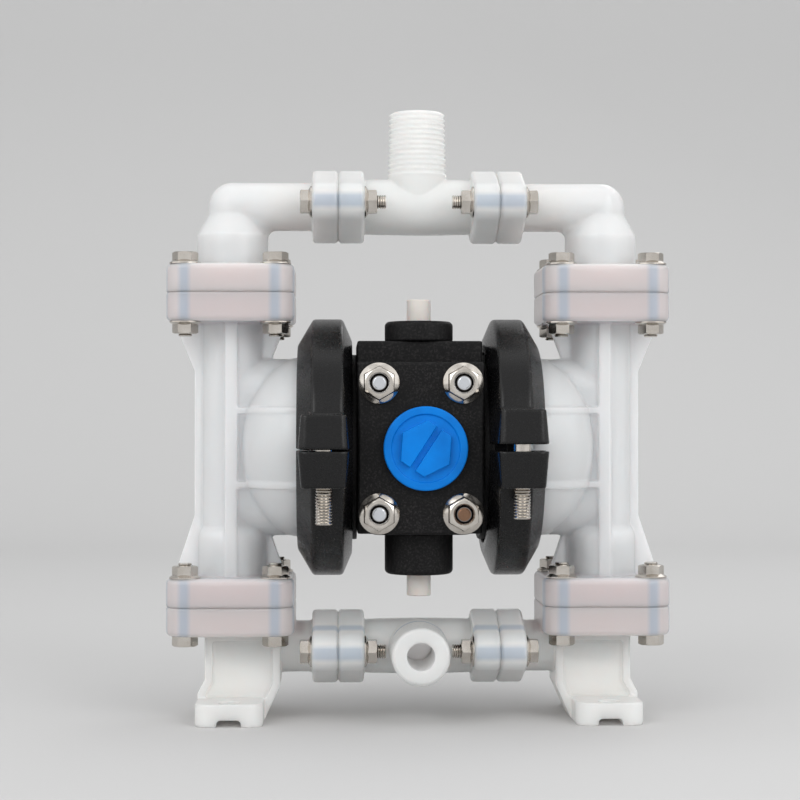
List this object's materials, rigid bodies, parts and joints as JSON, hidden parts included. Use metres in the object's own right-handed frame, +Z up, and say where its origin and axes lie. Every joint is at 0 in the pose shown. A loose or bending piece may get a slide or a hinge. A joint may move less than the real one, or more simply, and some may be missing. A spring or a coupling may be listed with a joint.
{
  "type": "air operated diaphragm pump",
  "caption": "Small air operated double-diaphragm pump with translucent plastic liquid chambers and manifolds, a black air block and steel bolts.",
  "frame": {"origin": "middle of the base plane, under the centre of the air block", "axes": "+Z up, +X to the right seen from the air inlet, +Y to the back, away from the suction port"},
  "size_m": [0.1794, 0.117, 0.219],
  "materials": {
    "polypropylene": "translucent, satin",
    "block_plastic": "rough, speckled",
    "clamp_plastic": "satin",
    "stainless_steel": "bright",
    "white_seat_plastic": "smooth",
    "blue_plastic": "satin",
    "pin_plastic": "satin",
    "rubber": "matte",
    "bronze": "satin",
    "aluminium": "satin"
  },
  "bodies": {
    "housing": {"centre_body": "block_plastic", "clamp_bolts": "stainless_steel", "clamp_nuts": "stainless_steel", "coupling_bolts": "stainless_steel", "coupling_nuts": "stainless_steel", "coupling_rings": "rubber", "cover_bolts": "stainless_steel", "cover_nuts": "stainless_steel", "discharge_tee": "polypropylene", "exhaust_cover": "block_plastic", "exhaust_gasket": "rubber", "inlet_cover": "block_plastic", "inlet_gasket": "rubber", "left_chamber": "polypropylene", "left_diaphragm": "rubber", "left_discharge_seat": "white_seat_plastic", "left_hub": "block_plastic", "left_lower_clamp": "clamp_plastic", "left_lower_elbow": "polypropylene", "left_shaft_bush": "bronze", "left_suction_seat": "white_seat_plastic", "left_upper_clamp": "clamp_plastic", "left_upper_elbow": "polypropylene", "lower_flange_bolts": "stainless_steel", "lower_flange_nuts": "stainless_steel", "lower_reset_spring": "stainless_steel", "lower_valve_cap": "block_plastic", "right_chamber": "polypropylene", "right_diaphragm": "rubber", "right_discharge_seat": "white_seat_plastic", "right_hub": "block_plastic", "right_lower_clamp": "clamp_plastic", "right_lower_elbow": "polypropylene", "right_shaft_bush": "bronze", "right_suction_seat": "white_seat_plastic", "right_upper_clamp": "clamp_plastic", "right_upper_elbow": "polypropylene", "seat_rings": "rubber", "shaft_seals": "rubber", "suction_tee": "polypropylene", "upper_flange_bolts": "stainless_steel", "upper_flange_nuts": "stainless_steel", "upper_reset_spring": "stainless_steel", "upper_valve_cap": "block_plastic", "valve_sleeve": "aluminium"},
    "shaft_and_plates": {"diaphragm_shaft": "stainless_steel", "left_inner_plate": "aluminium", "right_inner_plate": "aluminium", "left_outer_plate": "polypropylene", "right_outer_plate": "polypropylene"},
    "pilot": {"pilot_rod": "stainless_steel"},
    "spool": {"valve_spool": "aluminium"},
    "upper_pin": {"upper_reset_pin": "pin_plastic"},
    "lower_pin": {"lower_reset_pin": "pin_plastic"},
    "plug": {"inlet_plug": "blue_plastic"},
    "left_suction_check": {"left_suction_ball": "white_seat_plastic"},
    "right_suction_check": {"right_suction_ball": "white_seat_plastic"},
    "left_discharge_check": {"left_discharge_ball": "white_seat_plastic"},
    "right_discharge_check": {"right_discharge_ball": "white_seat_plastic"}
  },
  "joints": [
    {"name": "shaft_stroke", "type": "slide", "parent": "housing", "child": "shaft_and_plates", "axis": [1, 0, 0], "range_m": [-0.006, 0.006], "stiffness_N_per_m": 600, "deforming": ["left_diaphragm", "right_diaphragm"]},
    {"name": "pilot_shift", "type": "slide", "parent": "housing", "child": "pilot", "axis": [1, 0, 0], "range_m": [-0.0025, 0.0025]},
    {"name": "spool_shift", "type": "slide", "parent": "housing", "child": "spool", "axis": [0, 0, 1], "range_m": [-0.003, 0.003]},
    {"name": "upper_pin_press", "type": "slide", "parent": "housing", "child": "upper_pin", "axis": [0, 0, -1], "range_m": [0, 0.004], "stiffness_N_per_m": 300, "springref_m": -0.002, "deforming": ["upper_reset_spring"]},
    {"name": "lower_pin_press", "type": "slide", "parent": "housing", "child": "lower_pin", "axis": [0, 0, 1], "range_m": [0, 0.004], "stiffness_N_per_m": 300, "springref_m": -0.002, "deforming": ["lower_reset_spring"]},
    {"name": "plug_draw", "type": "slide", "parent": "housing", "child": "plug", "axis": [0, -1, 0], "range_m": [0, 0.014]},
    {"name": "left_suction_lift", "type": "slide", "parent": "housing", "child": "left_suction_check", "axis": [0, 0, 1], "range_m": [0, 0.004]},
    {"name": "left_discharge_lift", "type": "slide", "parent": "housing", "child": "left_discharge_check", "axis": [0, 0, 1], "range_m": [0, 0.004]},
    {"name": "right_suction_lift", "type": "slide", "parent": "housing", "child": "right_suction_check", "axis": [0, 0, 1], "range_m": [0, 0.004]},
    {"name": "right_discharge_lift", "type": "slide", "parent": "housing", "child": "right_discharge_check", "axis": [0, 0, 1], "range_m": [0, 0.004]}
  ],
  "couplings": [
    {"joint": "pilot_shift", "follows": "shaft_stroke", "ratio": 0.41}
  ]
}
